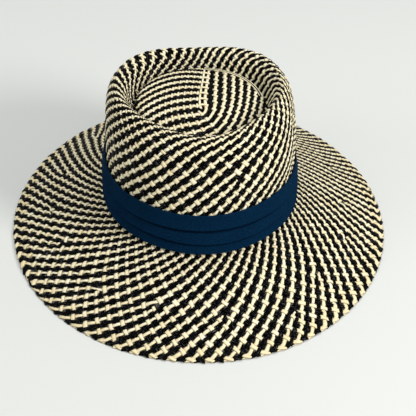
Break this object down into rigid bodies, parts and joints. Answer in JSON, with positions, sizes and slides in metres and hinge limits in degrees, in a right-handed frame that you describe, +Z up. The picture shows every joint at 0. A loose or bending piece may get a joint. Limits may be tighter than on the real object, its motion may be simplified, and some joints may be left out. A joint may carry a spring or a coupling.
{
  "type": "sun hat",
  "caption": "Wide-brim sun hat in two-colour woven straw with a recessed crown tip and a pleated cloth band round the foot of the crown.",
  "frame": {"origin": "centre of the brim on the surface the hat stands on", "axes": "+Z up out of the crown, front of the hat towards -Y, wearer's width along X"},
  "size_m": [0.3328, 0.3526, 0.1415],
  "materials": {
    "natural_straw": "satin straw, natural cream to tan",
    "black_straw": "satin straw dyed black",
    "navy_cloth": "matt navy cloth"
  },
  "bodies": {
    "root": {"crown": "natural_straw", "brim": "natural_straw", "hat_band": "navy_cloth"}
  },
  "joints": []
}
